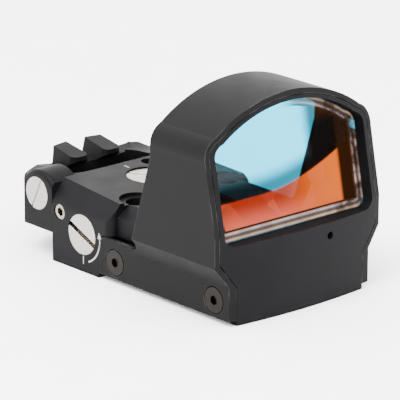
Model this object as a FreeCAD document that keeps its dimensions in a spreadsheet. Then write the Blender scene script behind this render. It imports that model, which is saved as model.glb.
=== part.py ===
"""Compact open reflex sight (red dot finder) with a hood, a tilted objective and a notch rear sight.

Millimetres, +Z up. The origin is the bottom centre of the sight. The objective faces -Y, the rear
sight is at +Y, and the windage screw is on the -X side.
"""
import FreeCAD
import Part
import os
import re
import Sketcher
from FreeCAD import Placement, Rotation, Vector

DOC = FreeCAD.newDocument("RedDotFinder")
SHEET = DOC.addObject("Spreadsheet::Sheet", "sheet")
NODES = []

ALONG_X = Rotation(Vector(0, 0, 1), Vector(1, 0, 0))
AGAINST_X = Rotation(Vector(0, 0, 1), Vector(-1, 0, 0))
UPRIGHT = Rotation()
DOWNWARD = Rotation(Vector(1, 0, 0), 180)
WINDAGE_TURN = AGAINST_X * Rotation(Vector(0, 0, 1), 67)
CROSS_TURN = AGAINST_X * Rotation(Vector(0, 0, 1), 154)
ELEVATION_TURN = Rotation(Vector(0, 0, 1), -63)

DIMENSIONS = {
    # plan of the body
    "side_x": 13.75, "inset_x": 12.35, "step_y": 1.0, "step_round": 1.4, "rear_y": 14.8,
    "groove_x": 11.8, "groove_low_z": 5.4, "groove_top_z": 6.85,
    # front face: bowed in plan, upright below the bend and raked above it
    "front_edge_y": -24.8, "front_mid_y": -26.1, "front_inset_y": -25.35, "bend_z": 13.75,
    "rake": 0.2, "front_half": 16.2,
    # deck: a plane that rises towards the rear
    "deck_low_z": 10.6, "deck_high_z": 12.72, "deck_front_y": -19.6, "deck_rear_y": 16.0,
    "plate_t": 0.6, "block_h": 12.5,
    "band_foot_z": 8.6, "band_knee_x": 13.06, "band_knee_z": 10.5, "band_mid_x": 13.58,
    "band_mid_z": 9.62, "band_top_x": 10.9, "band_top_z": 13.1,
    "shelf_in_x": 8.6, "shelf_in_z": 12.5, "shelf_out_z": 9.75,
    # front wall that carries the objective
    "wall_half": 15.25, "wall_foot_z": 5.75, "flare_z": 9.62, "shoulder_z": 24.0,
    "shoulder_mid_x": 14.87, "shoulder_mid_z": 25.85, "arch_x": 13.4, "arch_z": 26.95, "arch_top": 31.2,
    "seat_z": 10.0, "seat_y": -20.95, "lip_t": 1.0, "wall_back_y": -19.2, "wall_start_z": 5.0,
    "wall_top_z": 33.0,
    # window for the objective, and the smaller one in the lip behind it
    "window_half": 14.5, "window_low": 12.0, "window_side_z": 24.3, "window_mid_x": 14.2,
    "window_mid_z": 25.6, "window_arch_x": 12.9, "window_arch_z": 26.5, "window_top": 30.65,
    "lip_in": 0.8, "window_round": 1.6,
    # hood
    "hood_x": 16.17, "hood_t": 0.8, "flange_x": 13.76, "flange_in_x": 12.42, "flange_low_z": 0.8,
    "flange_knee_z": 5.98, "hood_knee_z": 9.2, "flange_in_knee_z": 5.7, "hood_in_knee_z": 9.47,
    "hood_arch_x": 14.1, "hood_arch_z": 27.5, "hood_top": 32.1, "hood_mid_x": 15.72, "hood_mid_z": 26.15,
    "gap": 0.12, "flange_rear_y": 3.75, "flange_top_z": 6.8, "flange_round": 1.5,
    "hood_back_low_y": -6.6, "hood_back_low_z": 9.1, "hood_back_y": -10.75, "hood_back_z": 22.6,
    "hood_foot_y": -4.3,
    # flange screws
    "screw_rear_y": 0.15, "screw_front_y": -21.85, "screw_z": 3.3, "hood_screw_head_r": 1.95,
    "hood_screw_seat_r": 2.12, "hood_screw_seat_x": 12.86, "hood_screw_r": 0.75, "hood_screw_tip_x": 10.7,
    # mounting screws
    "mount_x": 8.3, "mount_y": 1.2, "mount_r": 1.9, "spot_r": 2.85, "spot_z": 11.4,
    # battery bay
    "cell_y": -10.5, "cell_r": 10.0, "cell_t": 3.2, "cell_low_z": 1.6, "bay_r": 10.1, "bay_top_z": 5.6,
    "cap_r": 11.0, "cap_bore_r": 11.08, "cap_t": 1.5, "cap_seat_z": 2.0, "seal_in_r": 10.2,
    "cap_slot_w": 0.65, "cap_slot_l": 4.5, "cap_slot_t": 0.7,
    # mechanism cavity
    "room_x1": -8.8, "room_x2": 6.0, "room_y1": 4.4, "room_y2": 12.4, "room_top_z": 9.9,
    "board_x": 10.0, "board_y1": 3.6, "board_y2": 13.8, "room_floor_z": 2.6, "cover_t": 0.7,
    "board_t": 0.8, "board_low_z": 0.8,
    # light channel from the emitter to the objective
    "channel_x": 3.2, "channel_y1": -8.0, "channel_y2": 1.8, "channel_z": 7.6,
    "notch_x": 2.2, "notch_z": 8.2,
    # windage screw, along X
    "windage_y": 7.8, "windage_z": 5.8, "adjuster_r": 3.1, "adjuster_bore_r": 3.17, "adjuster_head": 2.4,
    "adjuster_seat_x": 11.25, "neck_r": 1.6, "neck_bore_r": 1.65, "stem_r": 1.2, "stem_bore_r": 1.25,
    "windage_tip_x": 4.6, "clip_r": 1.95, "clip_t": 0.4, "clip_gap": 0.05,
    # elevation screw, along Z
    "elevation_y": 8.2, "elevation_r": 3.6, "elevation_bore_r": 3.68, "elevation_top_z": 12.25,
    "elevation_head": 1.3, "elevation_seat_z": 10.9, "elevation_tip_z": 3.4,
    # lock screws
    "lock_r": 1.2, "lock_bore_r": 1.25, "lock_y": 13.1, "lock_z": 8.04, "lock_len": 3.0,
    "lock_end_x": 9.5, "top_lock_x": 3.9, "top_lock_y": 13.0, "top_lock_z": 12.0, "top_lock_end_z": 8.4,
    # rear sight block: the boss round the cross screw, the low crown and the bevel on the other side
    "block_low_z": 4.41, "block_front_y": 14.85, "block_corner_y": 21.55, "block_mid_y": 26.1,
    "block_top_z": 13.6, "boss_x": 9.0, "boss_front_z": 12.1, "boss_y": 18.2, "boss_z": 13.4,
    "boss_rear_z": 12.0, "crown_front_z": 12.65, "crown_y": 19.5, "crown_z": 11.8, "crown_rear_z": 12.6,
    "bevel_x1": 8.6, "bevel_z1": 12.9, "bevel_x2": 9.7, "bevel_z2": 12.67, "bevel_x3": 10.5,
    "bevel_z3": 12.15, "bevel_x4": 12.3, "bevel_z4": 10.6, "bevel_x5": 13.3, "bevel_z5": 9.6,
    "side_round": 0.8,
    # trough in front of the notch, valley behind it, and the two ears
    "trough_x1": 8.6, "trough_x2": 8.0, "trough_y1": 15.1, "trough_y2": 22.5, "trough_r": 3.0,
    "trough_z": 8.0, "valley_y": 22.0, "valley_x": 5.5, "valley_z": 11.2, "ridge_x": 9.0,
    "ridge_z": 12.0, "ear_in_x": 1.92, "ear_out_x": 4.66, "ear_foot_in_x": 1.2,
    "ear_foot_out_x": 5.05, "ear_top_z": 13.95, "ear_front_y": 20.6, "ear_front_z": 12.95,
    "ear_bend_z": 12.2, "ear_foot_y": 22.3, "ear_round": 1.0,
    # the lugs that the block hangs on, and its cross screws
    "lug_x1": 9.7, "lug_x2": 11.2, "lug_z1": 7.6, "lug_end_y": 18.5, "pivot_z": 9.75, "lug_half": 1.35,
    "lug_play": 0.1, "pivot_r": 0.8, "pivot_bore_r": 0.85, "pivot_head_r": 2.55, "pivot_seat_r": 2.6,
    "pivot_head": 0.9, "pivot_seat_x": 12.8, "pivot_tip_x": 8.95, "grub_x": 12.2,
    # bottom plate screws
    "plate_screw_x1": 8.6, "plate_screw_y1": -23.2, "plate_screw_x2": 11.8, "plate_screw_y2": 12.6,
    "plate_screw_r": 0.7, "plate_screw_head_r": 1.3, "plate_screw_tip_z": 3.4,
    # light sensor in the front face
    "sensor_x": 5.2, "sensor_z": 10.0, "sensor_r": 0.6, "sensor_y1": -26.6, "sensor_y2": -23.0,
    # objective
    "lens_play": 0.08, "lens_t": 2.7, "gasket_t": 0.3,
    # cross slide of the emitter
    "carriage_x": 3.0, "carriage_y1": 6.3, "carriage_y2": 10.6, "carriage_z1": 5.2, "carriage_z2": 8.6,
    "rail_y": 5.5, "rail_z1": 6.7, "rail_z2": 7.5, "pin_x": 2.1, "pin_y": 9.75, "pin_r": 0.5,
    "pin_bore_r": 0.55, "holder_x1": -7.4, "holder_x2": 2.6, "holder_y1": 5.0, "holder_y2": 6.2,
    "holder_z1": 6.2, "holder_z2": 9.2, "slide_play": 0.05, "key_x1": -6.9, "key_x2": -6.3,
    "key_y": 5.7, "nut_x1": -7.7, "nut_x2": -5.5, "nut_y1": 6.3, "nut_y2": 9.4, "nut_z1": 4.3, "nut_z2": 7.4,
    "led_x": 0.8, "led_z1": 8.2, "led_z2": 9.1, "led_y1": 4.6, "mask_t": 0.08, "mask_hole_r": 0.12,
    "spring_r": 1.9, "spring_wire_r": 0.17, "spring_pitch": 0.555, "glass_t": 0.6, "glass_y": 2.3,
    "glass_top_z": 11.3,
}


def fill_sheet():
    """Write every driving dimension into the sheet with its name as the alias."""
    for row, (alias, value) in enumerate(DIMENSIONS.items(), start=1):
        SHEET.set(f"A{row}", alias)
        SHEET.set(f"B{row}", str(value))
        SHEET.setAlias(f"B{row}", alias)
    DOC.recompute()


def measure(text):
    """The number that a sum such as 'side_x - wall' stands for, read from the sheet."""
    total = 0.0
    for term in re.findall(r"[+-]?[^+-]+", text.replace(" ", "")):
        name = term.lstrip("+-")
        value = float(name) if name[0].isdigit() else float(SHEET.get(name))
        total += -value if term[0] == "-" else value
    return total


def bound(text):
    """The same sum as an expression on the sheet's cells."""
    return re.sub(r"[a-z][a-z_0-9]*", lambda match: "sheet." + match.group(0), text)


def bind(thing, prop, text):
    thing.setExpression(prop, bound(text))


# ---------------------------------------------------------------- sketches

def sketch_on(body, role, name, offset="0"):
    """A sketch on one of the body's own planes, moved along that plane's normal."""
    sketch = body.newObject("Sketcher::SketchObject", name)
    plane = next(item for item in body.Origin.OriginFeatures if item.Role == role)
    sketch.AttachmentSupport = [(plane, "")]
    sketch.MapMode = "FlatFace"
    sketch.AttachmentOffset = Placement(Vector(0, 0, measure(offset)), Rotation())
    bind(sketch, "AttachmentOffset.Base.z", offset)
    return sketch


def pin(sketch, geometry, point, x, y):
    """Hold one point of the sketch at two driving distances from its origin."""
    for kind, text in (("DistanceX", x), ("DistanceY", y)):
        constraint = Sketcher.Constraint(kind, -1, 1, geometry, point, measure(text))
        index = sketch.addConstraint(constraint)
        bind(sketch, f"Constraints[{index}]", text)


def outline(sketch, path):
    """A closed outline. Each corner is (x, y), or (x, y, via_x, via_y) if an arc leads to it."""
    corners = [Vector(measure(corner[0]), measure(corner[1]), 0) for corner in path]
    first = sketch.GeometryCount
    for index, corner in enumerate(path):
        start, end = corners[index - 1], corners[index]
        if len(corner) == 4:
            via = Vector(measure(corner[2]), measure(corner[3]), 0)
            sketch.addGeometry(Part.Arc(start, via, end))
        else:
            sketch.addGeometry(Part.LineSegment(start, end))
    for index, corner in enumerate(path):
        meeting = [(geometry, point) for geometry in range(first, sketch.GeometryCount)
                   for point in (1, 2)
                   if sketch.getPoint(geometry, point).distanceToPoint(corners[index]) < 1e-6]
        pin(sketch, *meeting[0], corner[0], corner[1])
        sketch.addConstraint(Sketcher.Constraint("Coincident", *meeting[0], *meeting[1]))


def rectangle(sketch, x1, x2, y1, y2):
    outline(sketch, [(x1, y1), (x2, y1), (x2, y2), (x1, y2)])


def circle(sketch, x, y, radius):
    center = Vector(measure(x), measure(y), 0)
    index = sketch.addGeometry(Part.Circle(center, Vector(0, 0, 1), measure(radius)))
    pin(sketch, index, 3, x, y)
    constraint = sketch.addConstraint(Sketcher.Constraint("Radius", index, measure(radius)))
    bind(sketch, f"Constraints[{constraint}]", radius)


def negate(text):
    """The same sum with every sign turned round."""
    swapped = text.replace(" ", "").translate(str.maketrans("+-", "-+"))
    return swapped[1:] if swapped[0] == "+" else "-" + swapped


def flip(path):
    """The outline on the other side of X = 0, its corners in the same order."""
    return [tuple(negate(text) if place % 2 == 0 else text for place, text in enumerate(corner))
            for corner in path]


def mirrored(path, top=None):
    """A symmetric outline from its right half, listed from the bottom up. Top is the arch's middle."""
    vias = [corner[2:] for corner in path[1:]] + [top or ()]
    left = []
    for corner, via in reversed(list(zip(path, vias))):
        left.append(flip([corner[:2] + tuple(via)])[0])
    return path + left


# ---------------------------------------------------------------- features

def new_body(name):
    body = DOC.addObject("PartDesign::Body", name)
    body.Label = name
    NODES.append(body)
    return body


def pad(body, sketch, length, both=False, back=False, rake=False):
    """Add material along the sketch's normal, leaning back if raked."""
    feature = body.newObject("PartDesign::Pad", sketch.Name + "_pad")
    feature.Profile = sketch
    feature.Length = measure(length)
    bind(feature, "Length", length)
    feature.Midplane = both
    feature.Reversed = back
    if rake:
        feature.UseCustomVector = True
        feature.Direction = Vector(0, measure("rake"), 1)
        feature.AlongSketchNormal = True
        bind(feature, "Direction.y", "rake")
    DOC.recompute()
    return feature


def cut(body, sketch, length, both=False, back=False, rake=False):
    """Take material away along the sketch's normal, or against it if back is set."""
    before = body.Shape.Volume
    feature = body.newObject("PartDesign::Pocket", sketch.Name + "_cut")
    feature.Profile = sketch
    feature.Length = measure(length)
    bind(feature, "Length", length)
    feature.Midplane = both
    feature.Reversed = not back
    if rake:
        feature.UseCustomVector = True
        feature.Direction = Vector(0, measure("rake"), 1)
        feature.AlongSketchNormal = True
        bind(feature, "Direction.y", "rake")
    DOC.recompute()
    if body.Shape.Volume > before - 1e-4:
        raise RuntimeError(f"{feature.Name} cuts nothing")
    return feature


def edges_where(shape, test):
    """Names of the edges whose end points and length pass the test."""
    return [f"Edge{index}" for index, edge in enumerate(shape.Edges, start=1) if test(edge)]


def round_edges(body, name, radius, test):
    base = body.Tip
    feature = body.newObject("PartDesign::Fillet", name)
    feature.Base = (base, edges_where(base.Shape, test))
    feature.Radius = measure(radius)
    bind(feature, "Radius", radius)
    DOC.recompute()
    return feature


# ---------------------------------------------------------------- housing

def front_band(sketch, back_y):
    """The plan between the bowed front and a straight line behind it."""
    outline(sketch, [("front_half", back_y), ("-front_half", back_y), ("-front_half", "front_edge_y"),
                     ("front_half", "front_edge_y", "0", "front_mid_y")])


def wall_profile():
    """Outline of the front wall, just inside the hood."""
    return mirrored([("inset_x", "0"), ("inset_x", "wall_foot_z"), ("wall_half", "flare_z"),
                     ("wall_half", "shoulder_z"),
                     ("arch_x", "arch_z", "shoulder_mid_x", "shoulder_mid_z")], ("0", "arch_top"))


def window_profile(inset):
    """Outline of the objective window, or of a smaller one inside it."""
    half = "window_half-" + inset
    low = "window_low+" + inset
    return mirrored([(half + "-window_round", low),
                     (half, low + "+window_round", half + "-0.47", low + "+0.47"),
                     (half, "window_side_z"),
                     ("window_arch_x-" + inset, "window_arch_z-" + inset,
                      "window_mid_x-" + inset, "window_mid_z-" + inset)], ("0", "window_top-" + inset))


def keep_inside(body, name, path, reach="15.5"):
    """Trim everything outside an outline seen from the front, from the front face back."""
    sketch = sketch_on(body, "XZ_Plane", name, "30")
    rectangle(sketch, "-25", "25", "-2", "45")
    outline(sketch, path)
    cut(body, sketch, reach, back=True)


def open_window(body, name, inset):
    sketch = sketch_on(body, "XZ_Plane", name, "30")
    outline(sketch, window_profile(inset))
    cut(body, sketch, "15.5", back=True)


def housing_block(body):
    """The low block: full width behind the hood's flanges, narrower between them."""
    plan = sketch_on(body, "XY_Plane", "footprint", "plate_t")
    corner = [("inset_x", "step_y"),
              ("side_x", "step_y+step_round", "inset_x+0.99", "step_y+0.41"), ("side_x", "rear_y")]
    left = mirrored(corner)[3:]
    outline(plan, [("inset_x", "front_inset_y", "0", "front_mid_y")] + corner + left
            + [("-inset_x", "front_inset_y")])
    pad(body, plan, "block_h")
    deck = sketch_on(body, "YZ_Plane", "deck")
    outline(deck, [("deck_front_y", "deck_low_z"), ("deck_rear_y", "deck_high_z"),
                   ("deck_rear_y", "20"), ("deck_front_y", "20")])
    cut(body, deck, "60", both=True)
    bands = sketch_on(body, "XZ_Plane", "side_bands")
    band = [("side_x+1", "band_foot_z"), ("side_x+1", "band_top_z"), ("band_top_x", "band_top_z"),
            ("band_knee_x", "band_knee_z"), ("side_x", "band_foot_z", "band_mid_x", "band_mid_z")]
    outline(bands, band)
    outline(bands, flip(band))
    cut(body, bands, "deck_rear_y", back=True)
    shelves = sketch_on(body, "XZ_Plane", "front_shelves", "-step_y")
    shelf = [("shelf_in_x", "shelf_in_z"), ("side_x", "shelf_in_z"), ("side_x", "shelf_out_z"),
             ("inset_x", "shelf_out_z")]
    outline(shelves, shelf)
    outline(shelves, flip(shelf))
    cut(body, shelves, "step_y-wall_back_y")
    grooves = sketch_on(body, "XY_Plane", "side_grooves", "groove_low_z")
    rectangle(grooves, "groove_x", "side_x", "wall_back_y", "step_y")
    rectangle(grooves, "-side_x", "-groove_x", "wall_back_y", "step_y")
    cut(body, grooves, "groove_top_z-groove_low_z")


def flange_seats(body):
    """The pockets that take the rear ends of the hood's flanges flush with the sides."""
    seat = [("step_y-1", "0"), ("flange_rear_y+gap", "0"),
            ("flange_rear_y+gap", "flange_top_z-flange_round"),
            ("flange_rear_y-flange_round", "flange_top_z+gap", "flange_rear_y-0.35", "flange_top_z-0.35"),
            ("step_y-1", "flange_top_z+gap")]
    for name, offset, back in (("seat_right", "inset_x", False), ("seat_left", "-inset_x", True)):
        sketch = sketch_on(body, "YZ_Plane", name, offset)
        outline(sketch, seat)
        cut(body, sketch, "3", back=back)


def front_wall(body):
    """The raked wall with the window, and the thinner lip that the objective rests on."""
    low = sketch_on(body, "XY_Plane", "wall_low_part", "wall_start_z")
    front_band(low, "wall_back_y")
    pad(body, low, "bend_z-wall_start_z")
    high = sketch_on(body, "XY_Plane", "wall_high_part", "bend_z")
    front_band(high, "wall_back_y")
    pad(body, high, "wall_top_z-bend_z", rake=True)
    seat = sketch_on(body, "XY_Plane", "lens_seat", "seat_z")
    rectangle(seat, "-front_half-1", "front_half+1", "seat_y", "seat_y+12")
    cut(body, seat, "wall_top_z-seat_z+1", rake=True)
    open_window(body, "window", "0")
    lip = sketch_on(body, "XY_Plane", "lens_lip", "seat_z")
    rectangle(lip, "-front_half", "front_half", "seat_y", "seat_y+lip_t")
    pad(body, lip, "wall_top_z-seat_z", rake=True)
    keep_inside(body, "wall_outline", wall_profile())
    open_window(body, "lip_window", "lip_in")


def housing_hollows(body):
    """Battery bay, board pocket, mechanism room, light channel and the wire way between them."""
    bay = sketch_on(body, "XY_Plane", "battery_bay")
    circle(bay, "0", "cell_y", "bay_r")
    cut(body, bay, "bay_top_z")
    bore = sketch_on(body, "XY_Plane", "cap_bore")
    circle(bore, "0", "cell_y", "cap_bore_r")
    cut(body, bore, "cap_seat_z")
    hollows = (
        ("board_pocket", "0", "-board_x", "board_x", "board_y1", "board_y2", "room_floor_z"),
        ("room", "0", "room_x1", "room_x2", "room_y1", "room_y2", "room_top_z"),
        ("channel", "channel_z", "-channel_x", "channel_x", "channel_y1", "channel_y2", "8"),
        ("notch", "notch_z", "-notch_x", "notch_x", "channel_y2-0.1", "room_y1-0.7", "8"),
        ("notch_back", "notch_z", "-notch_x", "notch_x", "room_y1-0.8", "room_y1+0.1",
         "room_top_z-notch_z"),
        ("wire_way", "cap_seat_z+0.1", "-1.6", "1.6", "cell_y+9", "board_y1+0.1", "1.1"),
    )
    for name, offset, x1, x2, y1, y2, length in hollows:
        sketch = sketch_on(body, "XY_Plane", name, offset)
        rectangle(sketch, x1, x2, y1, y2)
        cut(body, sketch, length)


def round_hole(body, role, name, offset, spots, radius, length, back=False):
    """One or more equal round holes sunk from one plane."""
    sketch = sketch_on(body, role, name, offset)
    for x, y in spots:
        circle(sketch, x, y, radius)
    cut(body, sketch, length, back=back)


def housing_holes(body):
    """Bores for the adjusters, lock screws, fasteners, mounting screws and light sensor."""
    flange_spots = [("screw_rear_y", "screw_z"), ("screw_front_y", "screw_z")]
    mount_spots = [("mount_x", "mount_y"), ("-mount_x", "mount_y")]
    windage = [("windage_y", "windage_z")]
    holes = (
        ("YZ_Plane", "windage_seat", "-side_x", windage, "adjuster_bore_r", "side_x-adjuster_seat_x"),
        ("YZ_Plane", "windage_neck", "-side_x", windage, "neck_bore_r", "side_x+room_x1+0.1"),
        ("YZ_Plane", "windage_lock", "-side_x", [("lock_y", "lock_z")], "lock_bore_r",
         "side_x-lock_end_x"),
        ("XY_Plane", "elevation_seat", "elevation_seat_z", [("0", "elevation_y")], "elevation_bore_r",
         "3"),
        ("XY_Plane", "elevation_neck", "room_top_z-0.1", [("0", "elevation_y")], "neck_bore_r", "2"),
        ("XY_Plane", "elevation_lock", "top_lock_end_z", [("top_lock_x", "top_lock_y")], "lock_bore_r",
         "6"),
        ("XY_Plane", "mount_holes", "0", mount_spots, "mount_r", "14"),
        ("XY_Plane", "spot_faces", "spot_z", mount_spots, "spot_r", "3"),
        ("XY_Plane", "plate_screw_holes", "0", plate_screw_spots(), "plate_screw_r+0.03",
         "plate_screw_tip_z+0.1"),
        ("YZ_Plane", "flange_holes_left", "-inset_x", flange_spots, "hood_screw_r+0.03",
         "inset_x-hood_screw_tip_x+0.1"),
    )
    for role, name, offset, spots, radius, length in holes:
        round_hole(body, role, name, offset, spots, radius, length)
    round_hole(body, "YZ_Plane", "flange_holes_right", "inset_x", flange_spots, "hood_screw_r+0.03",
               "inset_x-hood_screw_tip_x+0.1", back=True)
    round_hole(body, "XZ_Plane", "sensor_hole", "-sensor_y1", [("sensor_x", "sensor_z")], "sensor_r",
               "sensor_y2-sensor_y1", back=True)


def lug_profile(play):
    """Side view of a lug: a tongue with a round end about the cross screw."""
    return [("rear_y-0.2", "lug_z1-" + play), ("lug_end_y", "lug_z1-" + play),
            ("lug_end_y", "pivot_z+lug_half+" + play, "lug_end_y+lug_half+" + play, "pivot_z"),
            ("rear_y-0.2", "pivot_z+lug_half+" + play)]


def housing_lugs(body):
    """Two tongues at the rear that carry the rear sight block."""
    for name, offset in (("lug_right", "lug_x1"), ("lug_left", "-lug_x2")):
        sketch = sketch_on(body, "YZ_Plane", name, offset)
        outline(sketch, lug_profile("0"))
        pad(body, sketch, "lug_x2-lug_x1")
    hole = sketch_on(body, "YZ_Plane", "lug_holes")
    circle(hole, "lug_end_y", "pivot_z", "pivot_bore_r")
    cut(body, hole, "60", both=True)


def base_housing():
    body = new_body("base_housing")
    housing_block(body)
    flange_seats(body)
    front_wall(body)
    housing_hollows(body)
    housing_lugs(body)
    housing_holes(body)


# ---------------------------------------------------------------- hood, rear sight, bottom plate

def hood_shroud():
    """The thin hood that wraps the front wall, screwed to the housing through its flanges."""
    body = new_body("hood_shroud")
    low = sketch_on(body, "XY_Plane", "hood_low_part", "flange_low_z")
    front_band(low, "flange_rear_y")
    pad(body, low, "bend_z-flange_low_z")
    high = sketch_on(body, "XY_Plane", "hood_high_part", "bend_z")
    front_band(high, "flange_rear_y")
    pad(body, high, "wall_top_z-bend_z", rake=True)
    outside = mirrored([("flange_x", "0"), ("flange_x", "flange_knee_z"), ("hood_x", "hood_knee_z"),
                        ("hood_x", "shoulder_z"),
                        ("hood_arch_x", "hood_arch_z", "hood_mid_x", "hood_mid_z")], ("0", "hood_top"))
    keep_inside(body, "hood_outline", outside, "60")
    inner_x = "hood_x-hood_t"
    inside = mirrored([("flange_in_x", "0"), ("flange_in_x", "flange_in_knee_z"),
                       (inner_x, "hood_in_knee_z"), (inner_x, "shoulder_z"),
                       ("arch_x+0.08", "arch_z+0.1", "shoulder_mid_x+0.1", "shoulder_mid_z+0.1")],
                      ("0", "hood_top-hood_t"))
    hollow = sketch_on(body, "XZ_Plane", "hood_hollow", "30")
    outline(hollow, inside)
    cut(body, hollow, "60", back=True)
    back = sketch_on(body, "YZ_Plane", "hood_back")
    outline(back, [("hood_back_y", "40"), ("hood_back_y", "hood_back_z"),
                   ("hood_back_low_y", "hood_back_low_z"),
                   ("hood_foot_y", "flange_top_z", "hood_foot_y-1.6", "flange_top_z+0.5"),
                   ("flange_rear_y-flange_round", "flange_top_z"),
                   ("flange_rear_y", "flange_top_z-flange_round", "flange_rear_y-0.44",
                    "flange_top_z-0.44"),
                   ("flange_rear_y+12", "flange_top_z-flange_round"), ("flange_rear_y+12", "40")])
    cut(body, back, "60", both=True)
    trim = sketch_on(body, "XY_Plane", "flange_trim", "flange_low_z")
    rectangle(trim, "flange_x", "hood_x+1", "hood_foot_y", "flange_rear_y+1")
    rectangle(trim, "-hood_x-1", "-flange_x", "hood_foot_y", "flange_rear_y+1")
    cut(body, trim, "flange_top_z")
    spots = [("screw_rear_y", "screw_z"), ("screw_front_y", "screw_z")]
    round_hole(body, "YZ_Plane", "head_seats_right", "hood_screw_seat_x", spots, "hood_screw_seat_r", "2")
    round_hole(body, "YZ_Plane", "head_seats_left", "-hood_screw_seat_x", spots, "hood_screw_seat_r", "2",
               back=True)
    through = sketch_on(body, "YZ_Plane", "flange_through")
    for spot in spots:
        circle(through, spot[0], spot[1], "hood_screw_r+0.1")
    cut(body, through, "60", both=True)


def block_top(body):
    """The block's upper side: a boss on the left, a low crown beside it and a bevel on the right."""
    rear = "block_mid_y+1"
    front = "block_front_y-1"
    boss = sketch_on(body, "YZ_Plane", "boss", "-boss_x")
    outline(boss, [(front, "boss_front_z"), ("block_front_y", "boss_front_z"),
                   ("block_corner_y", "boss_rear_z", "boss_y", "boss_z"), (rear, "boss_rear_z"),
                   (rear, "20"), (front, "20")])
    cut(body, boss, "6", back=True)
    crown = sketch_on(body, "YZ_Plane", "crown", "-boss_x")
    outline(crown, [(front, "crown_front_z"), ("block_front_y", "crown_front_z"),
                    ("block_mid_y", "crown_rear_z", "crown_y", "crown_z"), (rear, "crown_rear_z"),
                    (rear, "20"), (front, "20")])
    cut(body, crown, "30")
    bevel = sketch_on(body, "XZ_Plane", "bevel", "1-block_front_y")
    outline(bevel, [("bevel_x1", "bevel_z1"), ("bevel_x2", "bevel_z2"), ("bevel_x3", "bevel_z3"),
                    ("bevel_x4", "bevel_z4"), ("bevel_x5", "bevel_z5"), ("side_x", "band_foot_z"),
                    ("side_x+1", "band_foot_z"), ("side_x+1", "20"), ("bevel_x1", "20")])
    cut(body, bevel, "14", back=True)
    round_edges(body, "boss_round", "side_round", lambda edge: edge.BoundBox.YLength > 1
                and edge.BoundBox.XMax < measure("0.1-side_x")
                and edge.BoundBox.ZMin > measure("block_low_z+1"))


def sight_trough(body):
    """The deep trough with round ends in front of the ears, and the valley behind them."""
    near, far = "-trough_x1", "trough_x2"
    low, high = "trough_y1", "trough_y2"
    trough = sketch_on(body, "XY_Plane", "trough", "trough_z")
    outline(trough, [(far + "-trough_r", low),
                     (far, low + "+trough_r", far + "-0.88", low + "+0.88"),
                     (far, high + "-trough_r"),
                     (far + "-trough_r", high, far + "-0.88", high + "-0.88"),
                     (near + "+trough_r", high),
                     (near, high + "-trough_r", near + "+0.88", high + "-0.88"),
                     (near, low + "+trough_r"),
                     (near + "+trough_r", low, near + "+0.88", low + "+0.88")])
    cut(body, trough, "8")
    valley = sketch_on(body, "XZ_Plane", "valley", "-valley_y")
    outline(valley, mirrored([("valley_x", "valley_z"), ("ridge_x", "ridge_z"), ("ridge_x", "20")]))
    cut(body, valley, "6", back=True)


def sight_ears(body):
    """The two ears of the notch: inclined sides, a ramp on top and an undercut front."""
    ears = sketch_on(body, "XZ_Plane", "ears", "-block_mid_y-1")
    ear = [("ear_foot_in_x", "valley_z-0.2"), ("ear_foot_out_x", "valley_z-0.2"),
           ("ear_out_x", "ear_top_z+0.3"), ("ear_in_x", "ear_top_z+0.3")]
    outline(ears, ear)
    outline(ears, flip(ear))
    pad(body, ears, "block_mid_y-ear_front_y+1")
    round_edges(body, "ear_rounds", "ear_round", lambda edge: edge.BoundBox.YLength < 0.01
                and edge.BoundBox.ZLength > 2 and edge.BoundBox.ZMax > measure("ear_top_z")
                and abs(edge.BoundBox.YMin - measure("ear_front_y")) < 0.01)
    ramp = sketch_on(body, "YZ_Plane", "ear_ramps")
    outline(ramp, [("ear_front_y-1", "ear_front_z-0.18"), ("block_mid_y+1", "ear_top_z+0.18"),
                   ("block_mid_y+1", "20"), ("ear_front_y-1", "20")])
    cut(body, ramp, "60", both=True)
    undercut = sketch_on(body, "YZ_Plane", "ear_undercut")
    outline(undercut, [("ear_front_y-1", "valley_z-0.3"), ("ear_foot_y", "valley_z-0.3"),
                       ("ear_foot_y", "valley_z"), ("ear_front_y", "ear_bend_z"),
                       ("ear_front_y-1", "ear_bend_z")])
    cut(body, undercut, "ear_foot_out_x+ear_foot_out_x+0.3", both=True)


def rear_sight_block():
    """The rear block with the notch sight, hung on the housing's lugs."""
    body = new_body("rear_sight_block")
    plan = sketch_on(body, "XY_Plane", "block_plan", "block_low_z")
    rectangle(plan, "-side_x", "side_x", "block_front_y", "block_mid_y+1")
    pad(body, plan, "block_top_z-block_low_z")
    block_top(body)
    sight_trough(body)
    sight_ears(body)
    bow = sketch_on(body, "XY_Plane", "rear_bow")
    outline(bow, [("side_x", "block_corner_y"), ("-side_x", "block_corner_y", "0", "block_mid_y"),
                  ("-side_x", "30"), ("side_x", "30")])
    cut(body, bow, "20")
    for name, offset in (("slot_right", "lug_x1-lug_play"), ("slot_left", "-lug_x2-lug_play")):
        slot = sketch_on(body, "YZ_Plane", name, offset)
        outline(slot, lug_profile("lug_play"))
        cut(body, slot, "lug_x2-lug_x1+lug_play+lug_play")
    pivot = [("lug_end_y", "pivot_z")]
    for side, offset, back in (("right", "side_x", True), ("left", "-side_x", False)):
        round_hole(body, "YZ_Plane", "pivot_hole_" + side, offset, pivot, "pivot_bore_r",
                   "side_x-pivot_tip_x+0.1", back=back)
    round_hole(body, "YZ_Plane", "pivot_seat", "-side_x", pivot, "pivot_seat_r", "side_x-pivot_seat_x")


def plate_screw_spots():
    return [(sign + x, y) for sign in ("", "-")
            for x, y in (("plate_screw_x1", "plate_screw_y1"), ("plate_screw_x2", "plate_screw_y2"))]


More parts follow.
